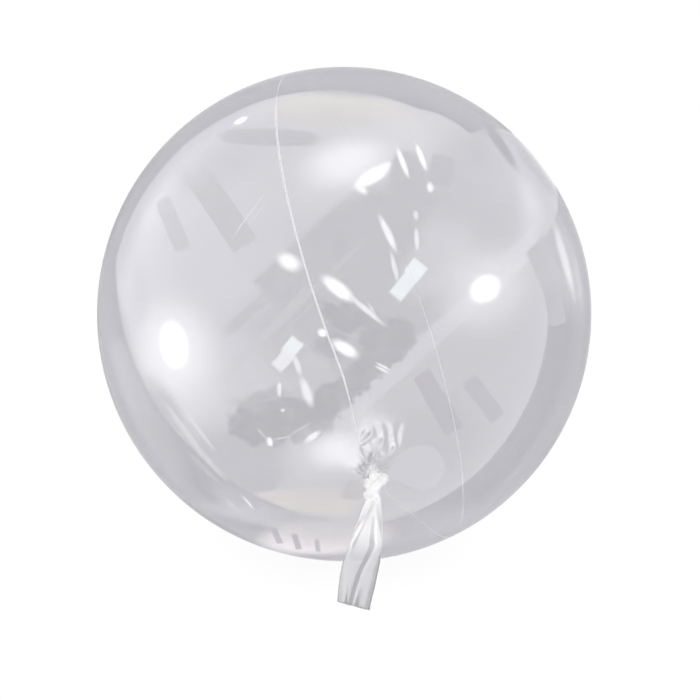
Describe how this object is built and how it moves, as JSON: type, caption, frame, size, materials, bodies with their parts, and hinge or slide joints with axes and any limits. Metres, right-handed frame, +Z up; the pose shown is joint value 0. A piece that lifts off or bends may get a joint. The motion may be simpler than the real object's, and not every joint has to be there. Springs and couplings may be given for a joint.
{
  "type": "round clear film balloon",
  "caption": "Clear film ball balloon with a welded seam and a pleated neck tied in a knot, its flat open tail hanging free, lying on a small flat spot.",
  "frame": {"origin": "middle of the flat spot, on the surface that the balloon lies on", "axes": "+Z up; the tied neck faces -Y and a little downwards; +X to the right of the neck seen from the front"},
  "size_m": [0.4493, 0.4721, 0.4462],
  "materials": {
    "film": "clear glossy stretched plastic film"
  },
  "bodies": {
    "root": {"balloon": "film"}
  },
  "joints": []
}
